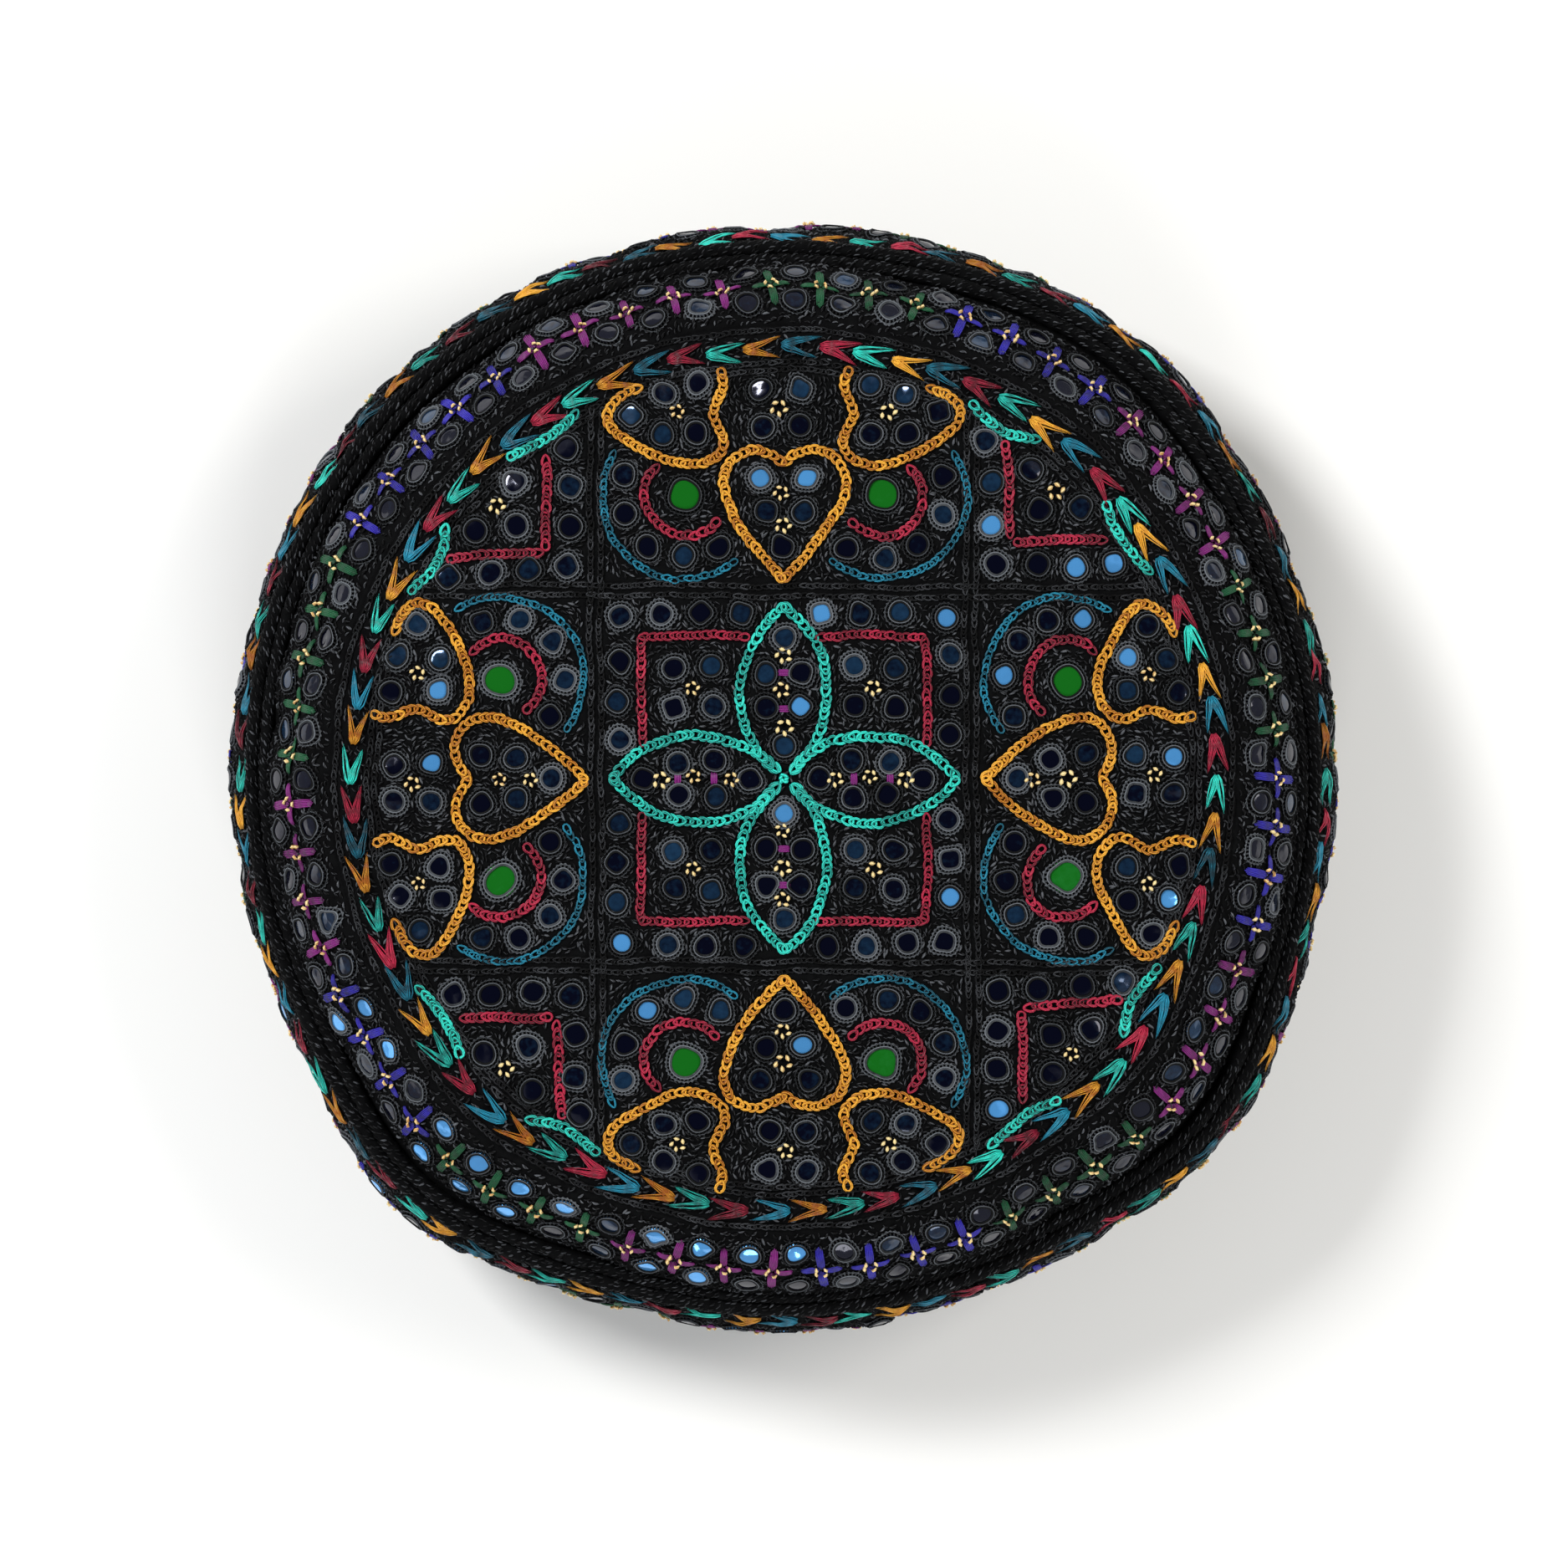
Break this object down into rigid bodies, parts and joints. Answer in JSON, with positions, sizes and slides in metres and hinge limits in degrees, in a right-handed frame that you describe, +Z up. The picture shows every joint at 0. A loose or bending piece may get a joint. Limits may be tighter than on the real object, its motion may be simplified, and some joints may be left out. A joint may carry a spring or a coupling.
{
  "type": "floor cushion",
  "caption": "Round boxed floor cushion with a zipped cover, covered in chain-stitch embroidery and small stitched-in mirrors.",
  "frame": {"origin": "middle of the underside, where the cushion rests on the floor", "axes": "+Z up through the middle of the round top; the zip on the underside runs along X"},
  "size_m": [0.4514, 0.4514, 0.1297],
  "materials": {
    "black_cotton": "plain-woven black cotton, closely stitched in black",
    "lining": "plain-woven dark cotton lining",
    "piping_cord": "twisted cotton cord",
    "zip_tape": "woven polyester tape",
    "zip_teeth": "nylon coil",
    "zip_metal": "black lacquered zinc",
    "pad_casing": "unbleached calico",
    "pad_filling": "loose cotton and fibre filling",
    "black_thread": "black cotton chain stitch",
    "mixed_thread": "floss in orange, turquoise, teal and crimson",
    "band_thread": "floss in magenta, dark green and blue",
    "turquoise_thread": "floss chain stitch",
    "crimson_thread": "floss chain stitch",
    "orange_thread": "floss chain stitch",
    "teal_thread": "floss chain stitch",
    "mirror_glass": "thin silvered glass",
    "green_glass": "thin green glass, silvered behind"
  },
  "bodies": {
    "cushion": {"top_panel": "black_cotton", "top_lining": "lining", "shoulder_band": "black_cotton", "shoulder_lining": "lining", "side_band": "black_cotton", "side_lining": "lining", "upper_seam_roll": "black_cotton", "upper_seam_roll_cord": "piping_cord", "upper_piping": "black_cotton", "upper_piping_cord": "piping_cord", "lower_piping": "black_cotton", "lower_piping_cord": "piping_cord", "back_panel_upper": "black_cotton", "back_panel_lower": "black_cotton", "zip_tape_upper": "zip_tape", "zip_teeth_upper": "zip_teeth", "zip_tape_lower": "zip_tape", "zip_teeth_lower": "zip_teeth", "zip_top_stops": "zip_metal", "zip_bottom_stop": "zip_metal", "pad_casing_bottom": "pad_casing", "pad_casing_side": "pad_casing", "pad_casing_top": "pad_casing", "pad_filling": "pad_filling", "top_chevron_ring": "mixed_thread", "top_ring_rows": "black_thread", "side_chevron_ring_upper": "mixed_thread", "side_chevron_ring_lower": "mixed_thread", "grid_chain_rows": "black_thread", "petal_braids": "turquoise_thread", "square_braids": "crimson_thread", "heart_braids": "orange_thread", "crimson_arc_braids": "crimson_thread", "teal_arc_braids": "teal_thread", "corner_angle_braids": "crimson_thread", "corner_arc_braids": "turquoise_thread", "centre_mirrors": "mirror_glass", "edge_mirrors": "mirror_glass", "corner_mirrors": "mirror_glass", "green_mirrors": "green_glass", "shoulder_mirrors": "mirror_glass", "shoulder_bars": "band_thread", "side_mirrors": "mirror_glass"},
    "zip_slider": {"zip_slider": "zip_metal"},
    "zip_pull_tab": {"zip_pull_tab": "zip_metal"}
  },
  "joints": [
    {"name": "zip_run", "type": "slide", "parent": "cushion", "child": "zip_slider", "axis": [1, 0, 0], "range_m": [0, 0.317]},
    {"name": "pull_tab_turn", "type": "hinge", "parent": "zip_slider", "child": "zip_pull_tab", "pos_m": [-0.1585, 0, 0.0023], "axis": [0, 1, 0], "range_deg": [0, 155]}
  ]
}
